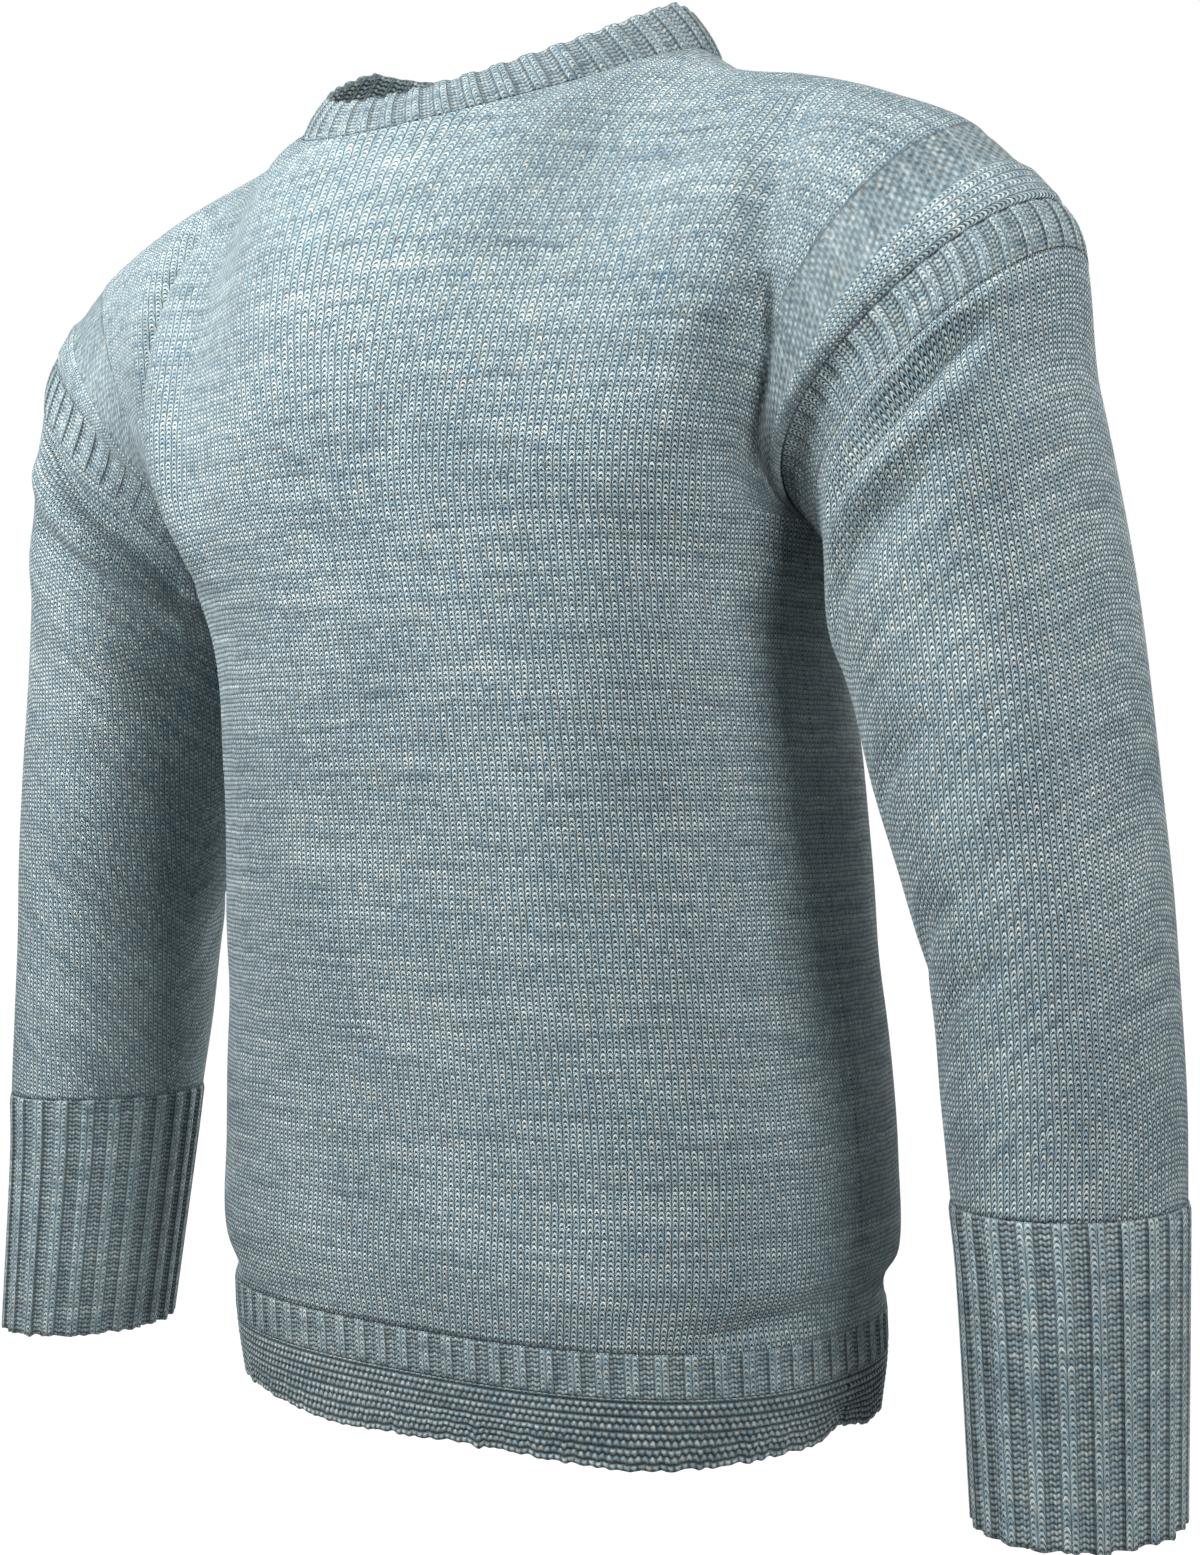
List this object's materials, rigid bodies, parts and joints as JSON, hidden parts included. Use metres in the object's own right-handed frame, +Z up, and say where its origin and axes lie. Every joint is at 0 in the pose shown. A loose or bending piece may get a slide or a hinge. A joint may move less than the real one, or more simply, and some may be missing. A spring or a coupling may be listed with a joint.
{
  "type": "guernsey fisherman sweater",
  "caption": "Blue-grey wool fisherman's sweater, filled out as worn with no wearer, with ribbed cuffs, neck and sleeve heads and a split garter-stitch hem.",
  "frame": {"origin": "between the shoulders, level with the base of the neckband at the sides of the neck, on the middle line", "axes": "+Z up as worn, the front faces -Y, the wearer's left is +X"},
  "size_m": [0.739, 0.3085, 0.7209],
  "materials": {
    "knit_wool": "matt",
    "rib_wool": "matt",
    "garter_wool": "matt"
  },
  "bodies": {
    "root": {"body_front": "knit_wool", "body_back": "knit_wool", "hem_rib_front": "rib_wool", "hem_rib_back": "rib_wool", "welt_front": "garter_wool", "welt_back": "garter_wool", "neckband": "rib_wool", "sleeve_head_left": "rib_wool", "sleeve_head_right": "rib_wool", "sleeve_left": "knit_wool", "sleeve_right": "knit_wool", "cuff_left": "rib_wool", "cuff_right": "rib_wool"}
  },
  "joints": []
}
